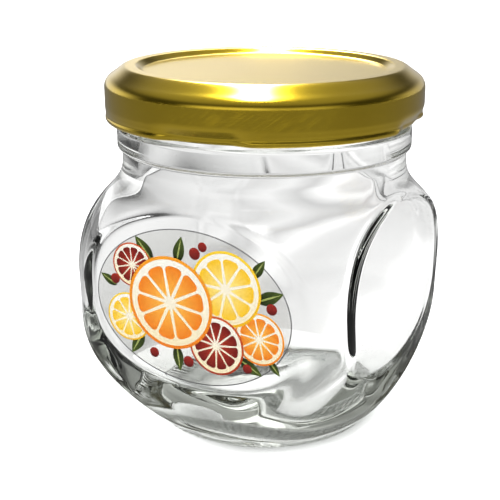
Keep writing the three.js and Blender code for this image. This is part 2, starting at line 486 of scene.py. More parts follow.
@dataclass(frozen=True)
class ClearFilm:
    """Clear polypropylene label film.

    Gives the eye a slightly grey window with a soft gloss of its own. Its index is set under the usual
    1.49, because glued film hardly shines at its face.
    """

    tint: str = "F4F4F3"
    ior: float = 1.3
    gloss_roughness: float = 0.12
    haze_size: float = 5.0

    def material(self) -> bpy.types.Material:
        """Makes the film as a clear sheet with a coat of gloss."""
        return new_material("clear_polypropylene_film", {
            "where": ("ShaderNodeTexCoord", {}),
            "haze": ("ShaderNodeTexNoise", {
                "Vector": "@where:Object", "Detail": 2.0, "Scale": 1 / (self.haze_size * MM)}),
            "rough": ("ShaderNodeMapRange", {
                "Value": "@haze", "To Min": self.gloss_roughness, "To Max": 2 * self.gloss_roughness}),
            "sheet": ("ShaderNodeBsdfTransparent", {"Color": linear(self.tint)}),
            "gloss": ("ShaderNodeBsdfGlossy", {"Color": linear("FFFFFF"), "Roughness": "@rough"}),
            "edge": ("ShaderNodeFresnel", {"IOR": self.ior}),
            "face": ("ShaderNodeNewGeometry", {}),
            "outer": ("ShaderNodeMath:SUBTRACT", {0: 1.0, 1: "@face:Backfacing"}),
            "shine": ("ShaderNodeMath:MULTIPLY", {0: "@edge", 1: "@outer"}),
            "mix": ("ShaderNodeMixShader", {0: "@shine", 1: "@sheet", 2: "@gloss"}),
            "out": ("ShaderNodeOutputMaterial", {"Surface": "@mix"}),
        })


@dataclass(frozen=True)
class PrintInk:
    """Gloss offset ink on film, shaded from a light tone to a deep one.

    Gives the eye a full bright colour with a fine screen grain. The grain is drawn coarser than a real
    printing screen so that it shows.
    """

    name: str
    light: str
    deep: str
    roughness: float = 0.3
    gloss: float = 0.2
    grain_size: float = 0.5
    grain_share: float = 0.35

    def material(self) -> bpy.types.Material:
        """Makes the ink, which reads the shapes' own tone attribute."""
        made = new_material(self.name, {
            "where": ("ShaderNodeTexCoord", {}),
            "tone": ("ShaderNodeAttribute", {"attribute_name": "tone"}, {}),
            "grain": ("ShaderNodeTexNoise", {
                "Vector": "@where:Object", "Detail": 1.0, "Scale": 1 / (self.grain_size * MM)}),
            "lift": ("ShaderNodeMapRange", {
                "Value": "@grain", "To Min": -self.grain_share / 2, "To Max": self.grain_share / 2}),
            "sum": ("ShaderNodeMath:ADD", {0: "@tone:Fac", 1: "@lift"}),
            "colour": ("ShaderNodeValToRGB", {"Fac": "@sum"}),
            "ink": ("ShaderNodeBsdfPrincipled", {
                "Base Color": "@colour", "Roughness": self.roughness, "Specular IOR Level": self.gloss}),
            "out": ("ShaderNodeOutputMaterial", {"Surface": "@ink"}),
        })
        set_ramp(made, ((0.0, self.light), (1.0, self.deep)))
        return made


@dataclass(frozen=True)
class OpalTable:
    """Opal acrylic light table, lit softly from below, and darker under the jar by a painted shadow.

    Gives the eye a plain pale floor on which shadows are faint. Near the jar its emission is painted light
    and shade:
    a painted bright patch under the jar's middle and a painted shadow ring under its foot, seen through the
    base and as a thin contact shadow. The stops are distances from the jar's axis, and the lean draws the
    bright floor in under the jar's front left, where the painted shadow is thinner.
    """

    light: str = "8E8E8E"
    shade: str = "8A8A8A"
    # The table's emission by distance from the axis: a painted bright patch under the jar's middle, then a
    # painted shadow ring under its foot.
    glow: tuple[Stop, ...] = (
        (10.0, "FFFFFF"), (13.0, "D8D8D6"), (16.5, "5C5C5A"), (23.6, "5C5C5A"), (27.5, "F4F4F4"))
    lean: tuple[float, float] = (-0.13, -0.04)
    grain_size: float = 2.0
    roughness: float = 0.9

    def material(self) -> bpy.types.Material:
        """Makes the acrylic."""
        made = mottled("opal_acrylic", self.light, self.shade, self.grain_size, self.roughness)
        # The emission below carries the painted bright patch and the painted shadow ring under the jar.
        added = wire(made.node_tree, {
            "place": ("ShaderNodeTexCoord", {}),
            "far": ("ShaderNodeVectorMath:LENGTH", {0: "@place:Object"}),
            "side": ("ShaderNodeVectorMath:DOT_PRODUCT", {0: "@place:Object", 1: (*self.lean, 0.0)}),
            "front": ("ShaderNodeMath:MAXIMUM", {0: "@side:Value", 1: 0.0}),
            "reach": ("ShaderNodeMath:ADD", {0: "@far:Value", 1: "@front"}),
            "share": ("ShaderNodeMapRange", {
                "Value": "@reach", "From Min": self.glow[0][0] * MM, "From Max": self.glow[-1][0] * MM}),
            "glow": ("ShaderNodeValToRGB", {"Fac": "@share"}),
        })
        set_ramp(made, self.glow, "glow")
        coat = made.node_tree.nodes["coat"]
        coat.inputs["Emission Strength"].default_value = 1.0
        made.node_tree.links.new(added["glow"].outputs[0], coat.inputs["Emission Color"])
        return made


def set_ramp(material: bpy.types.Material, stops: Sequence[Stop], node: str = "colour") -> None:
    """Sets a colour ramp's stops.

    Args:
        material: Material with the ramp.
        stops: Places and hex colours in order. The first place is the ramp's start, the last its end.
        node: Name of the ramp's node.
    """
    ramp = material.node_tree.nodes[node].color_ramp
    start, length = stops[0][0], stops[-1][0] - stops[0][0]
    for element, (_, code) in zip(ramp.elements, (stops[0], stops[-1])):
        element.color = linear(code)
    for place, code in stops[1:-1]:
        ramp.elements.new((place - start) / length).color = linear(code)


def mottled(name: str, light: str, shade: str, size: float, roughness: float) -> bpy.types.Material:
    """Makes a dull material that varies a little between two colours.

    Args:
        name: Name of the real material.
        light: Its lighter colour.
        shade: Its darker colour.
        size: Size of the variation in millimetres.
        roughness: Roughness of its surface.

    Returns:
        The material.
    """
    made = new_material(name, {
        "where": ("ShaderNodeTexCoord", {}),
        "mottle": ("ShaderNodeTexNoise", {
            "Vector": "@where:Object", "Detail": 3.0, "Scale": 1 / (size * MM)}),
        "colour": ("ShaderNodeValToRGB", {"Fac": "@mottle"}),
        "coat": ("ShaderNodeBsdfPrincipled", {"Base Color": "@colour", "Roughness": roughness}),
        "out": ("ShaderNodeOutputMaterial", {"Surface": "@coat"}),
    })
    set_ramp(made, ((0.0, shade), (1.0, light)))
    return made


@dataclass
class GlassJar:
    """The hollow glass body, turned from one profile and pressed flat on four sides."""

    segments: int = 320
    across_flats: float = 65.0
    belly_radius: float = 41.1
    belly_low: float = 25.0
    belly_high: float = 34.4
    base_radius: float = 24.4
    bearing_radius: float = 18.8
    push_up: float = 1.2
    heel_rise: float = 0.4
    heel_pull: float = 11.2
    heel_slope: float = 34.0
    belly_pull: float = 9.7
    waist_radius: float = 30.7
    waist_height: float = 58.4
    shoulder_pull: float = 16.7
    waist_pull: float = 8.4
    panel_blend: float = 0.8
    heel_ease: float = 0.115
    heel_ease_top: float = 34.0
    corner_softness: float = 0.25
    ring_radius: float = 31.7
    ring_low: float = 60.8
    ring_high: float = 65.6
    ring_round: float = 0.8
    finish_radius: float = 29.9
    rim_top: float = 76.9
    wall: float = 2.8
    mouth_radius: float = 27.4
    floor_height: float = 4.6
    floor_radius: float = 16.0
    inner_heel_pull: float = 9.0
    inner_belly_low: float = 29.0
    inner_belly_pull: float = 13.0
    inner_waist_height: float = 57.5
    knurl_count: int = 84
    knurl_depth: float = 0.25
    glass: ContainerGlass = field(default_factory=ContainerGlass)

    def outside(self) -> list[Point]:
        """Gives the outer profile from the middle of the base to the rim."""
        slope = math.radians(self.heel_slope)
        heel = (self.base_radius + self.heel_rise, self.heel_rise)
        heel_end = (heel[0] + self.heel_pull * math.cos(slope), heel[1] + self.heel_pull * math.sin(slope))
        belly_low, belly_high = (self.belly_radius, self.belly_low), (self.belly_radius, self.belly_high)
        waist = (self.waist_radius, self.waist_height)
        half = self.bearing_radius / 2
        ring = self.ring_radius - self.ring_round
        points: list[Point] = [(0.0, self.push_up)]
        points += bezier(points[-1], (half, self.push_up), (half, 0.0), (self.bearing_radius, 0.0), steps=12)
        points += straight(points[-1], (self.base_radius, 0.0), steps=6)
        points += bezier(points[-1], (heel[0], 0.0), (heel[0], 0.0), heel, steps=4)
        points += bezier(heel, heel_end, (self.belly_radius, self.belly_low - self.belly_pull), belly_low,
                         steps=58)
        points += straight(belly_low, belly_high, steps=10)
        points += bezier(belly_high, (self.belly_radius, self.belly_high + self.shoulder_pull),
                         (self.waist_radius, self.waist_height - self.waist_pull), waist, steps=54)
        points += straight(waist, (self.waist_radius, self.ring_low), steps=4)
        points += arc((ring, self.ring_low + self.ring_round), self.ring_round, -90, 0, steps=6)
        points += arc((ring, self.ring_high - self.ring_round), self.ring_round, 0, 90, steps=6)
        points += straight(points[-1], (self.finish_radius, self.ring_high), steps=2)
        return points

    def inside(self) -> list[Point]:
        """Gives the profile from the rim down the inner wall to the middle of the floor."""
        rim_round = (self.finish_radius - self.mouth_radius) / 2
        rim = (self.mouth_radius + rim_round, self.rim_top - rim_round)
        inner = self.belly_radius - self.wall
        waist, high = (self.mouth_radius, self.inner_waist_height), (inner, self.belly_high)
        low, floor = (inner, self.inner_belly_low), (self.floor_radius, self.floor_height)
        points = arc(rim, rim_round, 0, 180, steps=14)
        points += straight(points[-1], waist, steps=6)
        points += bezier(waist, (self.mouth_radius, waist[1] - self.waist_pull),
                         (inner, self.belly_high + self.shoulder_pull), high, steps=44)
        points += straight(high, low, steps=6)
        points += bezier(low, (inner, low[1] - self.inner_belly_pull),
                         (self.floor_radius + self.inner_heel_pull, self.floor_height), floor, steps=44)
        points += straight(floor, (0.0, self.floor_height), steps=8)
        return points

    def tree(self) -> bpy.types.NodeTree:
        """Makes the tree that turns the profile, eases the heel and presses the four panels.

        Returns:
            The tree, with the jar's shaping sizes as inputs in metres.
        """
        soft_peak = math.hypot(1, self.corner_softness) - self.corner_softness
        rows = turning_rows(("inside", "bearing"))
        rows.update({
            "heel": ("ShaderNodeMapRange", {
                "Value": "@part:Z", "From Max": "@in:Ease Top", "To Max": math.pi}),
            "rise": ("ShaderNodeMath:SINE", {0: "@heel"}),
            "double": ("ShaderNodeMath:MULTIPLY", {0: "@angle", 1: 2.0}),
            "facing": ("ShaderNodeMath:COSINE", {0: "@double"}),
            "squared": ("ShaderNodeMath:MULTIPLY_ADD", {
                0: "@facing", 1: "@facing", 2: self.corner_softness ** 2}),
            "root": ("ShaderNodeMath:SQRT", {0: "@squared"}),
            "soft": ("ShaderNodeMath:SUBTRACT", {0: "@root", 1: self.corner_softness}),
            "eased": ("ShaderNodeMath:MULTIPLY", {0: "@soft", 1: "@rise"}),
            "drawn": ("ShaderNodeMath:MULTIPLY", {0: "@eased", 1: "@in:Ease"}),
            "kept": ("ShaderNodeMath:MULTIPLY_ADD", {0: "@drawn", 1: -1 / soft_peak, 2: 1.0}),
            "stretch": ("ShaderNodeCombineXYZ", {"X": "@kept", "Y": "@kept", "Z": 1.0}),
            "round": ("ShaderNodeVectorMath:MULTIPLY", {0: "@spun", 1: "@stretch"}),
            "behind": ("ShaderNodeMath:MULTIPLY", {0: "@inside", 1: "@in:Wall"}),
            "flat": ("ShaderNodeMath:SUBTRACT", {0: "@in:Half Flats", 1: "@behind"}),
            "below": ("ShaderNodeMath:LESS_THAN", {0: "@part:Z", 1: "@in:Waist"}),
            "limit": ("GeometryNodeSwitch", {"input_type": "FLOAT"}, {
                "Switch": "@below", "False": 1.0, "True": "@flat"}),
            "limits": ("ShaderNodeCombineXYZ", {"X": "@limit", "Y": "@limit", "Z": 1.0}),
            "size": ("ShaderNodeVectorMath:ABSOLUTE", {0: "@round"}),
            "side": ("ShaderNodeVectorMath:SIGN", {0: "@round"}),
            "over": ("ShaderNodeVectorMath:SUBTRACT", {0: "@size", 1: "@limits"}),
            "blend": ("ShaderNodeCombineXYZ", {"X": "@in:Blend", "Y": "@in:Blend", "Z": "@in:Blend"}),
            "past": ("ShaderNodeVectorMath:ADD", {0: "@over", 1: "@blend"}),
            "width": ("ShaderNodeVectorMath:ADD", {0: "@blend", 1: "@blend"}),
            "part_way": ("ShaderNodeVectorMath:DIVIDE", {0: "@past", 1: "@width"}),
            "started": ("ShaderNodeVectorMath:MAXIMUM", {0: "@part_way", 1: (0.0, 0.0, 0.0)}),
            "way": ("ShaderNodeVectorMath:MINIMUM", {0: "@started", 1: (1.0, 1.0, 1.0)}),
            "way_squared": ("ShaderNodeVectorMath:MULTIPLY", {0: "@way", 1: "@way"}),
            "eased_off": ("ShaderNodeVectorMath:MULTIPLY", {0: "@way_squared", 1: "@blend"}),
            "beyond": ("ShaderNodeVectorMath:SUBTRACT", {0: "@over", 1: "@blend"}),
            "cut": ("ShaderNodeVectorMath:MAXIMUM", {0: "@beyond", 1: (0.0, 0.0, 0.0)}),
            "less": ("ShaderNodeVectorMath:SUBTRACT", {0: "@size", 1: "@eased_off"}),
            "held": ("ShaderNodeVectorMath:SUBTRACT", {0: "@less", 1: "@cut"}),
            "pressed": ("ShaderNodeVectorMath:MULTIPLY", {0: "@held", 1: "@side"}),
            "turns": ("ShaderNodeMath:MULTIPLY", {0: "@angle", 1: "@in:Knurls"}),
            "wave": ("ShaderNodeMath:COSINE", {0: "@turns"}),
            "groove": ("ShaderNodeMath:MAXIMUM", {0: "@wave", 1: 0.0}),
            "knurl": ("ShaderNodeMath:MULTIPLY", {0: "@groove", 1: "@bearing"}),
            "lift": ("ShaderNodeMath:MULTIPLY", {0: "@knurl", 1: "@in:Knurl Depth"}),
            "raised": ("ShaderNodeCombineXYZ", {"Z": "@lift"}),
            "place": ("ShaderNodeVectorMath:ADD", {0: "@pressed", 1: "@raised"}),
        })
        rows.update(closing_rows("place"))
        sizes = ("Half Flats", "Wall", "Waist", "Blend", "Ease", "Ease Top", "Knurls", "Knurl Depth")
        return new_tree("pressed_glass", {**TURNED_INPUTS, **dict.fromkeys(sizes, "Float")}, rows)

    def build(self) -> bpy.types.Object:
        """Makes the jar and dresses it in glass.

        Returns:
            The jar, which stands for the CAD node.
        """
        outer, inner = self.outside(), self.inside()
        points = outer + inner
        inside = [0.0] * len(outer) + [0.0 if z > self.inner_waist_height else 1.0 for _, z in inner]
        middle, spread = (self.bearing_radius + self.base_radius) / 2, self.base_radius - self.bearing_radius
        bearing = [max(0.0, 1 - (2 * (r - middle) / spread) ** 2) if z == 0.0 else 0.0 for r, z in points]
        glass = self.glass.material()
        jar = grow("glass_jar", profile_mesh("jar_profile", points, {"inside": inside, "bearing": bearing}),
                   self.tree(), {
                       "Segments": self.segments, "Finish": glass, "Lining": glass,
                       "Half Flats": self.across_flats / 2 * MM, "Wall": self.wall * MM,
                       "Waist": self.waist_height * MM, "Blend": self.panel_blend * MM,
                       "Ease": self.heel_ease, "Ease Top": self.heel_ease_top * MM,
                       "Knurls": float(self.knurl_count), "Knurl Depth": self.knurl_depth * MM})
        dress(jar, "clear_glass", "jar")
        return jar


@dataclass
class TwistLid:
    """The sheet-metal lid: recessed disc, ridge, sloped shoulder, skirt, rolled edge and four lugs."""

    segments: int = 288
    height: float = 78.0
    radius: float = 34.0
    bottom: float = 66.7
    sheet: float = 0.4
    curl_radius: float = 0.75
    shoulder_height: float = 73.7
    shoulder_round: float = 2.7
    slope: float = 60.0
    ridge_inner: float = 27.6
    ridge_outer: float = 29.4
    disc_radius: float = 25.5
    disc_drop: float = 1.1
    disc_margin: float = 1.5
    edge_pull: Point = (1.2, 0.7)
    crest_pull: float = 1.0
    groove_pull: float = 0.8
    disc_pull: float = 0.9
    curl_end: float = 390.0
    pinch_pull: Point = (0.18, 0.32)
    skirt_step: float = 0.08
    step_pull: float = 0.5
    step_height: float = 0.8
    lug_count: int = 4
    lug_turn: float = 5.8
    lug_half_width: float = 19.0
    lug_flat_share: float = 0.5
    lug_height: float = 3.8
    lug_depth: float = 1.6
    gold: GoldLacquer = field(default_factory=GoldLacquer)
    white: WhiteLacquer = field(default_factory=WhiteLacquer)

    def top_line(self, drop: float) -> list[Point]:
        """Gives the line over the lid from the top of the skirt to the middle of the disc.

        Args:
            drop: How far the line lies under the outer face.

        Returns:
            Radius and height of each point.
        """
        shoulder = (self.radius - self.shoulder_round, self.shoulder_height)
        disc, top = self.height - self.disc_drop - drop, self.height - drop
        points = arc(shoulder, self.shoulder_round - drop, 0, self.slope, steps=14)
        crest_out, crest_in = (self.ridge_outer, top), (self.ridge_inner, top)
        edge = points[-1]
        points += bezier(edge, (edge[0] - self.edge_pull[0], edge[1] + self.edge_pull[1]),
                         (self.ridge_outer + self.crest_pull, top), crest_out, steps=14)
        points += straight(crest_out, crest_in, steps=6)
        points += bezier(crest_in, (self.ridge_inner - self.groove_pull, top),
                         (self.disc_radius + self.disc_pull, disc), (self.disc_radius, disc), steps=14)
        points += straight(points[-1], (self.disc_radius - self.disc_margin, disc), steps=4)
        points += straight(points[-1], (0.0, disc), steps=12)
        return points

    def profile(self) -> tuple[list[Point], list[float]]:
        """Gives the closed profile and marks the points of its underside.

        Returns:
            The points from the middle of the underside to the middle of the top, and a 1 for each
            point that is under the sheet.
        """
        curl = (self.radius - self.curl_radius, self.bottom + self.curl_radius)
        skirt_low, inner_radius = curl[1] + 2 * self.curl_radius, self.radius - self.sheet
        under = list(reversed(self.top_line(self.sheet)))
        under += straight(under[-1], (inner_radius, skirt_low), steps=16)
        roll_in, roll_top = curl[0] - self.curl_radius, curl[1] + self.curl_radius
        roll = bezier(under[-1], (inner_radius, roll_top), (roll_in, roll_top), (roll_in, curl[1]), steps=6)
        roll += arc(curl, self.curl_radius, 180, self.curl_end, steps=22)[1:]
        pinch = roll[-1]
        step = self.radius - self.skirt_step
        outer = bezier(pinch, (pinch[0] - self.pinch_pull[0], pinch[1] + self.pinch_pull[1]),
                       (step, skirt_low - self.step_pull), (step, skirt_low), steps=8)
        outer += straight(outer[-1], (self.radius, skirt_low + self.step_height), steps=4)
        outer += straight(outer[-1], (self.radius, self.shoulder_height), steps=14)[:-1]
        outer += self.top_line(0.0)
        return under + roll + outer, [1.0] * len(under) + [0.0] * (len(roll) + len(outer))

    def tree(self) -> bpy.types.NodeTree:
        """Makes the tree that turns the profile and bends the lugs in.

        Returns:
            The tree, with the lugs' sizes as inputs in metres and radians.
        """
        pitch = FULL_TURN / self.lug_count
        rows = turning_rows(("inside",))
        rows.update({
            "from_lug": ("ShaderNodeMath:SUBTRACT", {0: "@angle", 1: "@in:Lug Turn"}),
            "around": ("ShaderNodeMath:WRAP", {0: "@from_lug", 1: pitch / 2, 2: -pitch / 2}),
            "off": ("ShaderNodeMath:ABSOLUTE", {0: "@around"}),
            "half_lug": ("ShaderNodeMath:MULTIPLY", {0: "@in:Lug Half", 1: self.lug_flat_share}),
            "lug": ("ShaderNodeMapRange:SMOOTHSTEP", {
                "Value": "@off", "From Min": "@half_lug", "From Max": "@in:Lug Half", "To Min": 1.0,
                "To Max": 0.0}),
            "lug_top": ("ShaderNodeMath:ADD", {0: "@in:Bottom", 1: "@in:Lug Height"}),
            "low": ("ShaderNodeMapRange:SMOOTHSTEP", {
                "Value": "@part:Z", "From Min": "@in:Bottom", "From Max": "@lug_top", "To Min": 1.0,
                "To Max": 0.0}),
            "bend": ("ShaderNodeMath:MULTIPLY", {0: "@lug", 1: "@low"}),
            "draw": ("ShaderNodeMath:MULTIPLY", {0: "@bend", 1: "@in:Lug Depth"}),
            "share_in": ("ShaderNodeMath:DIVIDE", {0: "@draw", 1: "@part:X"}),
            "kept": ("ShaderNodeMath:SUBTRACT", {0: 1.0, 1: "@share_in"}),
            "shrink": ("ShaderNodeCombineXYZ", {"X": "@kept", "Y": "@kept", "Z": 1.0}),
            "place": ("ShaderNodeVectorMath:MULTIPLY", {0: "@spun", 1: "@shrink"}),
        })
        rows.update(closing_rows("place"))
        sizes = ("Bottom", "Lug Turn", "Lug Half", "Lug Height", "Lug Depth")
        return new_tree("lugged_lid", {**TURNED_INPUTS, **dict.fromkeys(sizes, "Float")}, rows)

    def build(self) -> bpy.types.Object:
        """Makes the lid and dresses it in gold outside and white inside.

        Returns:
            The lid, which stands for the CAD node.
        """
        points, inside = self.profile()
        lid = grow("twist_lid", profile_mesh("lid_profile", points, {"inside": inside}), self.tree(), {
            "Segments": self.segments, "Finish": self.gold.material(), "Lining": self.white.material(),
            "Bottom": self.bottom * MM, "Lug Turn": math.radians(self.lug_turn),
            "Lug Half": math.radians(self.lug_half_width), "Lug Height": self.lug_height * MM,
            "Lug Depth": self.lug_depth * MM})
        dress(lid, "gold_lacquer", "lid")
        return lid


class Fruit(Enum):
    """The kinds of cut fruit in the print: name, number of segments, rind ink and flesh ink."""

    ORANGE = ("orange", 10, PrintInk("orange_rind_ink", "F7A01C", "EC7C08"),
              PrintInk("orange_flesh_ink", "FFC24A", "F0800C"))
    LEMON = ("lemon", 9, PrintInk("lemon_rind_ink", "FAD22A", "F0B40C"),
             PrintInk("lemon_flesh_ink", "FFEB8C", "F8C51A"))
    BLOOD = ("blood_orange", 11, PrintInk("blood_rind_ink", "D2551A", "A8300E"),
             PrintInk("blood_flesh_ink", "B8361A", "74100C"))

    def __init__(self, label: str, segments: int, rind: PrintInk, flesh: PrintInk) -> None:
        """Keeps the inks and the number of segments under plain names."""
        self.label, self.segments, self.rind, self.flesh = label, segments, rind, flesh


@dataclass(frozen=True)
class Slice:
    """One round slice in the print: its fruit, middle, radius and turn in degrees."""

    fruit: Fruit
    across: float
    up: float
    radius: float
    turn: float = 0.0


@dataclass(frozen=True)
class Place:
    """Where a printed shape goes: its middle, its layer, its size and its turn from upright."""

    across: float
    up: float
    layer: float
    size: float
    turn: float = 0.0


@dataclass
class FilmLabel:
    """The oval film on the front panel and the cut fruit printed on it."""

    width: float = 45.0
    height: float = 32.4
    offset: float = 0.6
    middle: float = 33.4
    thickness: float = 0.15
    gap: float = 0.05
    panel: float = 32.5
    sides: int = 160
    edge_width: float = 0.22
    ink_thickness: float = 0.012
    layer_step: float = 0.014
    pith_share: float = 0.93
    flesh_share: float = 0.8
    core_share: float = 0.13
    membrane_share: float = 0.12
    leaf_width: float = 0.44
    leaf_steps: int = 16
    leaf_low: float = 0.8
    leaf_full: float = 0.9
    vein_width: float = 0.07
    vein_length: float = 0.9
    spot_sides: int = 72
    segment_steps: int = 14
    segment_round: float = 0.09
    segment_corner: int = 6
    slice_layers: int = 3
    film: ClearFilm = field(default_factory=ClearFilm)
    # The grey band along the film's cut edge is painted shade, darker towards its bottom.
    cut_edge: PrintInk = PrintInk("cut_film_edge", "747476", "505052")
    pith: PrintInk = PrintInk("cream_ink", "FFFDF2", "FBEBC0")
    leaf: PrintInk = PrintInk("leaf_green_ink", "16200C", "4C5E1E")
    vein: PrintInk = PrintInk("vein_green_ink", "8C9A48", "B4BE6E")
    berry: PrintInk = PrintInk("berry_red_ink", "A3261A", "5E0D0A")
    slices: tuple[Slice, ...] = (
        Slice(Fruit.BLOOD, -13.6, 7.0, 4.7, 10),
        Slice(Fruit.LEMON, -14.8, -4.4, 5.2, 24),
        Slice(Fruit.ORANGE, 15.6, -3.6, 5.4, 5),
        Slice(Fruit.LEMON, 8.2, 5.4, 7.8, 12),
        Slice(Fruit.BLOOD, 6.0, -6.8, 6.2, 0),
        Slice(Fruit.ORANGE, -4.6, 0.4, 9.8, 8),
    )
    leaves: tuple[Place, ...] = (
        Place(-8.6, 8.4, 0, 6.4, -40), Place(-3.0, 9.0, 0, 5.8, 12), Place(15.0, 4.0, 0, 6.2, 66),
        Place(14.0, 8.6, 0, 4.8, 34), Place(-17.6, 2.0, 0, 4.4, -62), Place(-11.4, -7.2, 0, 6.0, -150),
        Place(-3.4, -8.6, 0, 5.6, 172), Place(11.0, -8.6, 0, 5.8, 118), Place(17.6, -7.6, 0, 3.8, 140),
    )
    berries: tuple[Place, ...] = (
        Place(-17.9, 3.4, 2, 1.1), Place(1.2, 11.6, 2, 1.25), Place(3.0, 13.2, 2, 1.0),
        Place(18.2, 3.0, 2, 1.15), Place(-8.8, -11.2, 2, 1.1), Place(-0.6, -11.6, 2, 1.2),
        Place(12.9, -10.4, 2, 1.0),
    )

    def front(self) -> float:
        """Gives how far the film's outer face is from the jar's axis."""
        return self.panel + self.gap + self.thickness

    def oval(self, inset: float) -> list[Point]:
        """Gives the film's outline on the panel, inset by a width."""
        half_width, half_height = self.width / 2 - inset, self.height / 2 - inset
        return [(self.offset + half_width * math.cos(a), self.middle + half_height * math.sin(a))
                for a in circle_angles(self.sides)]

    def disc_shape(self) -> tuple[list[Point], list[float]]:
        """Gives the outline and tones of a round spot of radius 1."""
        angles = circle_angles(self.spot_sides)
        return [(math.cos(a), math.sin(a)) for a in angles], [0.5 - 0.5 * math.sin(a) for a in angles]

    def segment_shape(self, count: int) -> tuple[list[Point], list[float]]:
        """Gives one segment of a slice of radius 1, with its tip near the middle.

        Args:
            count: Number of segments round the slice.

        Returns:
            The outline, pointing up, and its tones, light at the tip.
        """
        half = math.pi / count
        side = half * (1 - self.membrane_share)
        outline = [(0.0, self.core_share)]
        for i in range(self.segment_steps + 1):
            share = 1 - 2 * i / self.segment_steps
            reach = self.flesh_share * (1 - self.segment_round * share ** self.segment_corner)
            outline.append((reach * math.sin(side * share), reach * math.cos(side * share)))
        return outline, [math.hypot(x, z) / self.flesh_share for x, z in outline]

    def leaf_shape(self, width: float) -> tuple[list[Point], list[float]]:
        """Gives a pointed leaf of length 1 that grows up from its foot.

        Args:
            width: Its widest part as a share of its length.

        Returns:
            The outline and its tones, deep at the foot.
        """
        rows = [i / self.leaf_steps for i in range(1, self.leaf_steps)]
        right = [(width / 2 * math.sin(math.pi * t ** self.leaf_low) ** self.leaf_full, t) for t in rows]
        outline = [(0.0, 0.0), *right, (0.0, 1.0), *((-x, z) for x, z in reversed(right))]
        return outline, [z for _, z in outline]

    def plate(self, name: str, outline: Sequence[Point], near: float, far: float,
              tones: Sequence[float]) -> bpy.types.Mesh:
        """Makes a flat closed shape that faces the front.

        Args:
            name: Name of the mesh.
            outline: Its points, counter-clockwise as seen from the front.
            near: Distance of its back face from the axis.
            far: Distance of its front face from the axis.
            tones: Tone of each point of the print, from light to deep.

        Returns:
            The mesh.
        """
        count = len(outline)
        mesh = bpy.data.meshes.new(name)
        points = [(x * MM, -y * MM, z * MM) for y in (far, near) for x, z in outline]
        loop = list(range(count))
        faces = [loop, [i + count for i in reversed(loop)]]
        faces += [[i, i + count, (i + 1) % count + count, (i + 1) % count] for i in loop]
        mesh.from_pydata(points, [], faces)
        mesh.attributes.new("tone", "FLOAT", "POINT").data.foreach_set("value", list(tones) * 2)
        return mesh

    def edge_band(self) -> bpy.types.Mesh:
        """Makes the thin band of painted shade that stands for the film's cut edge, as a closed ring.

        Returns:
            The mesh.
        """
        near, far = self.front(), self.front() + self.ink_thickness
        outer, inner = self.oval(0.0), self.oval(self.edge_width)
        loops = [(outer, far), (inner, far), (inner, near), (outer, near)]
        points = [(x * MM, -y * MM, z * MM) for outline, y in loops for x, z in outline]
        faces = []
        for k in range(4):
            for i in range(self.sides):
                j = (i + 1) % self.sides
                a, b = k * self.sides, (k + 1) % 4 * self.sides
                faces.append((a + i, a + j, b + j, b + i))
        mesh = bpy.data.meshes.new("label_edge")
        mesh.from_pydata(points, [], faces)
        # Painted shade: the band is lighter at its top and darker at its bottom.
        tones = [0.5 - 0.5 * math.sin(a) for a in circle_angles(self.sides)]
        mesh.attributes.new("tone", "FLOAT", "POINT").data.foreach_set("value", tones * 4)
        return mesh

    def tree(self) -> bpy.types.NodeTree:
        """Makes the tree that puts copies of one printed shape where its points say.

        Returns:
            The tree.
        """
        return new_tree("printed_copies", {"Places": "Geometry", "Shape": "Object", "Ink": "Material"}, {
            "shape": ("GeometryNodeObjectInfo", {"transform_space": "ORIGINAL"}, {"Object": "@in:Shape"}),
            "turn": ("GeometryNodeInputNamedAttribute", {"data_type": "FLOAT"}, {"Name": "turn"}),
            "size": ("GeometryNodeInputNamedAttribute", {"data_type": "FLOAT"}, {"Name": "size"}),
            "rotation": ("ShaderNodeCombineXYZ", {"Y": "@turn"}),
            "scale": ("ShaderNodeCombineXYZ", {"X": "@size", "Y": 1.0, "Z": "@size"}),
            "copies": ("GeometryNodeInstanceOnPoints", {
                "Points": "@in:Places", "Instance": "@shape:Geometry", "Rotation": "@rotation",
                "Scale": "@scale"}),
            "solid": ("GeometryNodeRealizeInstances", {0: "@copies"}),
            "done": ("GeometryNodeSetMaterial", {"Geometry": "@solid", "Material": "@in:Ink"}),
        })

    def print_copies(self, name: str, shape: tuple[list[Point], list[float]], places: Sequence[Place],
                     tree: bpy.types.NodeTree, ink: PrintInk) -> bpy.types.Object:
        """Prints copies of a shape in one ink.

        Args:
            name: Name of the piece.
            shape: Outline and tones of the shape.
            places: Where its copies go.
            tree: The tree that places them.
            ink: Their ink.

        Returns:
            The piece, dressed.
        """
        plate = self.plate(name, shape[0], 0.0, self.ink_thickness, shape[1])
        stamp = bpy.data.objects.new(f"{name}_stamp", plate)
        depths = [self.front() + self.ink_thickness + p.layer * self.layer_step for p in places]
        seed = bpy.data.meshes.new(name)
        seed.from_pydata([((self.offset + p.across) * MM, -depth * MM, (self.middle + p.up) * MM)
                          for p, depth in zip(places, depths)], [], [])
        turns, sizes = [math.radians(p.turn) for p in places], [p.size for p in places]
        for label, values in (("turn", turns), ("size", sizes)):
            seed.attributes.new(label, "FLOAT", "POINT").data.foreach_set("value", values)
        piece = grow(name, seed, tree, {"Shape": stamp, "Ink": ink.material()})
        bpy.data.meshes.remove(stamp.data)
        dress(piece, "label_film")
        return piece

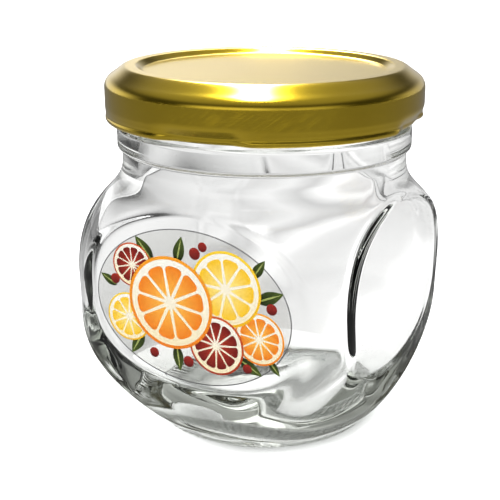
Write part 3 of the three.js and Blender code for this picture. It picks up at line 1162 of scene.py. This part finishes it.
    def printed(self) -> None:
        """Prints the leaves, the slices and the berries, each colour as its own piece."""
        tree = self.tree()
        spot = self.disc_shape()
        leaves, veins = self.leaf_shape(self.leaf_width), self.leaf_shape(self.vein_width)
        self.print_copies("print_leaves", leaves, self.leaves, tree, self.leaf)
        ribs = [Place(p.across, p.up, 1, p.size * self.vein_length, p.turn) for p in self.leaves]
        self.print_copies("print_veins", veins, ribs, tree, self.vein)
        self.print_copies("print_berries", spot, self.berries, tree, self.berry)
        layers = {piece: self.slice_layers * (1 + i) for i, piece in enumerate(self.slices)}
        pith = [Place(s.across, s.up, layers[s] + 1, s.radius * self.pith_share) for s in self.slices]
        self.print_copies("print_pith", spot, pith, tree, self.pith)
        for fruit in Fruit:
            cut = [s for s in self.slices if s.fruit is fruit]
            rind = [Place(s.across, s.up, layers[s], s.radius) for s in cut]
            flesh = [Place(s.across, s.up, layers[s] + 2, s.radius, s.turn + 360 * i / fruit.segments)
                     for s in cut for i in range(fruit.segments)]
            self.print_copies(f"print_{fruit.label}_rind", spot, rind, tree, fruit.rind)
            self.print_copies(f"print_{fruit.label}_flesh", self.segment_shape(fruit.segments), flesh, tree,
                              fruit.flesh)

    def build(self) -> None:
        """Makes the film, its edge and its print, and dresses them."""
        flat = [0.5] * self.sides
        film = self.plate("label_film", self.oval(0.0), self.panel + self.gap, self.front(), flat)
        for mesh, finish in ((film, self.film), (self.edge_band(), self.cut_edge)):
            piece = show(mesh.name, mesh)
            mesh.materials.append(finish.material())
            dress(piece, "label_film", *(["label"] if mesh is film else []))
        self.printed()


class SeenBy(Enum):
    """The only kind of ray that sees a card, by the object's switch for it."""

    CAMERA = "visible_camera"
    GLASS = "visible_transmission"
    GLOSS = "visible_glossy"


@dataclass(frozen=True)
class StudioCard:
    """A ring of card that fades from one tone to another as it goes out.

    Gives the eye the pale backdrop. A card that only glass or gloss sees is a painted reflection, in place of
    a darker room round a lit table: grey bands, streaks and a dark surround in what shows through the glass,
    and a darker reflection on the lid.
    """

    name: str
    seen_by: SeenBy
    inner: float
    outer: float
    lift: float
    level: float
    tones: tuple[Stop, ...]
    rise: float = 0.0
    wander: float = 30.0
    wander_size: float = 90.0
    lean: tuple[float, float] = (0.0, 0.0)
    lean_limit: float = 170.0

    def material(self) -> bpy.types.Material:
        """Makes the card, toned by how far it is from the jar, with a wandering edge to each tone."""
        made = new_material(f"{self.name}_card", {
            "where": ("ShaderNodeTexCoord", {}),
            "far": ("ShaderNodeVectorMath:LENGTH", {0: "@where:Object"}),
            "uneven": ("ShaderNodeTexNoise", {
                "Vector": "@where:Object", "Detail": 2.0, "Scale": 1 / (self.wander_size * MM)}),
            "shift": ("ShaderNodeMapRange", {
                "Value": "@uneven", "To Min": -self.wander * MM, "To Max": self.wander * MM}),
            "side": ("ShaderNodeVectorMath:DOT_PRODUCT", {0: "@where:Object", 1: (*self.lean, 0.0)}),
            "held": ("ShaderNodeMath:MINIMUM", {0: "@side:Value", 1: self.lean_limit * MM}),
            "spread": ("ShaderNodeMath:ADD", {0: "@far:Value", 1: "@shift"}),
            "reach": ("ShaderNodeMath:SUBTRACT", {0: "@spread", 1: "@held"}),
            "share": ("ShaderNodeMapRange", {
                "Value": "@reach", "From Min": self.tones[0][0] * MM, "From Max": self.tones[-1][0] * MM}),
            "colour": ("ShaderNodeValToRGB", {"Fac": "@share"}),
            "card": ("ShaderNodeEmission", {"Color": "@colour", "Strength": self.level}),
            "out": ("ShaderNodeOutputMaterial", {"Surface": "@card"}),
        })
        set_ramp(made, self.tones)
        return made


@dataclass
class Studio:
    """The floor, the light and the camera."""

    floor_radius: float = 3000.0
    camera_distance: float = 221.87
    camera_height: float = 107.56
    camera_azimuth: float = 27.5
    camera_pitch: float = 17.82
    camera_pan: float = 0.8
    camera_clip: tuple[float, float] = (0.01, 20.0)
    focal_pixels: float = 1036.59
    strip_half: float = 0.04
    strip_edge: float = 0.14
    strip_shift: float = 0.06
    strip_level: float = 42.0
    horizon_level: float = 0.72
    horizon_tilt: float = 0.28
    front_level: float = 0.8
    fill_level: float = 0.035
    top_level: float = 0.3
    glass_fill: float = 0.4
    strip_reach: tuple[float, float] = (-0.4, -0.1)
    strip_climb: tuple[float, float] = (0.3, 0.88)
    low_span: tuple[float, float] = (0.12, 0.4)
    rear_span: tuple[float, float] = (0.0, 0.6)
    tilt_span: tuple[float, float] = (-0.15, 0.15)
    front_span: tuple[float, float] = (-0.85, -0.4)
    top_span: tuple[float, float] = (0.35, 0.75)
    wall_span: tuple[float, float] = (0.0, 0.3)
    flag_sides: int = 64
    # The glass card paints grey bands and streaks into what shows through the glass, and the gloss card is a
    # dark sheet that paints a darker reflection on the lid.
    cards: tuple[StudioCard, ...] = (
        StudioCard("backdrop", SeenBy.CAMERA, 2860.0, 2900.0, 0.0, 1.0, (
            (2800.0, "FFFFFF"), (5000.0, "F6F6F6")), rise=3000.0),
        StudioCard("glass_flag", SeenBy.GLASS, 36.0, 2600.0, 1.0, 1.5, (
            (-28.0, "FFFFFF"), (-12.0, "E2E2E2"), (12.0, "DCDCDC"), (40.0, "D4D4D4"), (66.0, "DADADA"),
            (85.0, "F0F0F0"), (100.0, "F0F0F0"), (133.0, "BEBEBE"), (170.0, "E0E0E0"), (215.0, "CCCCCC"),
            (280.0, "DADADA"), (900.0, "3C3C3C")),
            lean=(2.66, 1.385)),
        StudioCard("gloss_flag", SeenBy.GLOSS, 26.5, 2600.0, 0.5, 1.0, (
            (26.0, "5C5C56"), (50.0, "66665F"), (70.0, "A2A2A2"), (400.0, "7A7A7A")), wander=2.0),
    )
    glass_bounces: int = 16
    glass_clamp: float = 2.0
    table: OpalTable = field(default_factory=OpalTable)

    def lay(self, name: str, points: Sequence[tuple[float, float, float]], faces: Sequence[tuple[int, ...]],
            finish: bpy.types.Material) -> bpy.types.Object:
        """Lays a sheet that belongs to the stage.

        Args:
            name: Name of the sheet.
            points: Its points in millimetres.
            faces: Its faces, by the numbers of their points.
            finish: Its material.

        Returns:
            The sheet.
        """
        mesh = bpy.data.meshes.new(name)
        mesh.from_pydata([tuple(value * MM for value in point) for point in points], [], faces)
        mesh.materials.append(finish)
        sheet = show(name, mesh)
        return sheet

    def floor(self) -> None:
        """Lays the light table under the jar."""
        half = self.floor_radius
        corners = [(-half, -half, 0), (half, -half, 0), (half, half, 0), (-half, half, 0)]
        self.lay("floor", corners, [(0, 1, 2, 3)], self.table.material())

    def light(self) -> None:
        """Sets a soft dome: a bright strip from behind the jar to overhead, with darker sides.

        What shows through the glass also has a lighter wall behind the jar.
        """
        turn = math.radians(self.camera_azimuth)
        away, right = (-math.sin(turn), math.cos(turn), 0.0), (math.cos(turn), math.sin(turn), 0.0)
        world = bpy.data.worlds.new("studio")
        world.use_nodes = True
        world.node_tree.nodes.clear()
        rows: Rows = {
            "where": ("ShaderNodeTexCoord", {}),
            "parts": ("ShaderNodeSeparateXYZ", {0: "@where:Generated"}),
            "behind": ("ShaderNodeVectorMath:DOT_PRODUCT", {0: "@where:Generated", 1: away}),
            "beside": ("ShaderNodeVectorMath:DOT_PRODUCT", {0: "@where:Generated", 1: right}),
            "centred": ("ShaderNodeMath:ADD", {0: "@beside:Value", 1: self.strip_shift}),
            "aside": ("ShaderNodeMath:ABSOLUTE", {0: "@centred"}),
            "ray": ("ShaderNodeLightPath", {}),
            "tilt": ("ShaderNodeMapRange", {
                "Value": "@beside:Value", "From Min": self.tilt_span[0], "From Max": self.tilt_span[1],
                "To Min": 1 + self.horizon_tilt, "To Max": 1 - self.horizon_tilt}),
        }
        # Soft steps: what each is taken over, where it starts and ends, and its levels there.
        steps = {
            "narrow": ("@aside", (self.strip_half, self.strip_edge), (1.0, 0.0)),
            "reach": ("@behind:Value", self.strip_reach, (0.0, 1.0)),
            "climb": ("@parts:Z", self.strip_climb, (0.0, self.strip_level)),
            "low": ("@parts:Z", self.low_span, (1.0, 0.0)),
            "rear": ("@behind:Value", self.rear_span, (0.0, self.horizon_level)),
            "fore": ("@behind:Value", self.front_span, (self.front_level, 0.0)),
            "top": ("@parts:Z", self.top_span, (self.fill_level, self.top_level)),
            "wall": ("@behind:Value", self.wall_span, (0.0, self.glass_fill)),
        }
        for name, (value, span, ends) in steps.items():
            rows[name] = ("ShaderNodeMapRange:SMOOTHSTEP", {
                "Value": value, "From Min": span[0], "From Max": span[1], "To Min": ends[0],
                "To Max": ends[1]})
        rows.update({
            "strip": ("ShaderNodeMath:MULTIPLY", {0: "@narrow", 1: "@climb"}),
            "lit": ("ShaderNodeMath:MULTIPLY", {0: "@strip", 1: "@reach"}),
            "both": ("ShaderNodeMath:ADD", {0: "@rear", 1: "@fore"}),
            "ring": ("ShaderNodeMath:MULTIPLY", {0: "@low", 1: "@both"}),
            "horizon": ("ShaderNodeMath:MULTIPLY", {0: "@ring", 1: "@tilt"}),
            "fill": ("ShaderNodeMath:ADD", {0: "@horizon", 1: "@top"}),
            "through": ("ShaderNodeMath:MULTIPLY", {0: "@wall", 1: "@ray:Is Transmission Ray"}),
            "filled": ("ShaderNodeMath:ADD", {0: "@fill", 1: "@through"}),
            "all": ("ShaderNodeMath:ADD", {0: "@filled", 1: "@lit"}),
            "sky": ("ShaderNodeBackground", {"Color": "@all", "Strength": 1.0}),
            "out": ("ShaderNodeOutputWorld", {"Surface": "@sky"}),
        })
        wire(world.node_tree, rows)
        scene = bpy.context.scene
        scene.world = world
        scene.view_settings.view_transform = "Standard"
        # A ray passes many glass walls before it is out. The clamp takes out stray bright dots, and the
        # denoiser works from the picture alone, because its other guides are noise inside clear glass.
        scene.cycles.max_bounces = scene.cycles.transmission_bounces = self.glass_bounces
        scene.cycles.glossy_bounces = self.glass_bounces
        scene.cycles.sample_clamp_indirect = self.glass_clamp
        scene.cycles.denoising_input_passes = "RGB"

    def flag(self, card: StudioCard) -> None:
        """Lays a card round the jar, which only one kind of ray sees.

        Args:
            card: The card's sizes and tones.
        """
        count = self.flag_sides + 1
        angles = [*circle_angles(self.flag_sides), FULL_TURN]
        points = [(r * math.sin(a), -r * math.cos(a), z)
                  for r, z in ((card.inner, card.lift), (card.outer, card.lift + card.rise)) for a in angles]
        faces = [(i, i + count, i + count + 1, i + 1) for i in range(self.flag_sides)]
        sheet = self.lay(card.name, points, faces, card.material())
        sheet.visible_diffuse = sheet.visible_shadow = False
        for seen_by in SeenBy:
            setattr(sheet, seen_by.value, seen_by is card.seen_by)

    def camera(self) -> None:
        """Sets the camera at the photograph's angle."""
        turn, pan = math.radians(self.camera_azimuth), math.radians(self.camera_pan)
        data = bpy.data.cameras.new("camera")
        data.sensor_width = SENSOR
        data.lens = self.focal_pixels * SENSOR / FRAME_PIXELS
        data.clip_start, data.clip_end = self.camera_clip
        camera = show("camera", data)
        reach = self.camera_distance * MM
        camera.location = (reach * math.sin(turn), -reach * math.cos(turn), self.camera_height * MM)
        camera.rotation_euler = (math.radians(90 - self.camera_pitch), 0.0, turn + pan)
        bpy.context.scene.camera = camera

    def build(self) -> None:
        """Sets up the floor, the light and the camera."""
        self.floor()
        for card in self.cards:
            self.flag(card)
        self.light()
        self.camera()


def main() -> None:
    """Builds the jar, the lid, the label and the studio."""
    logging.basicConfig(level=logging.INFO, format="%(name)s: %(message)s")
    GlassJar().build()
    TwistLid().build()
    FilmLabel().build()
    Studio().build()


if __name__ == "__main__":
    main()
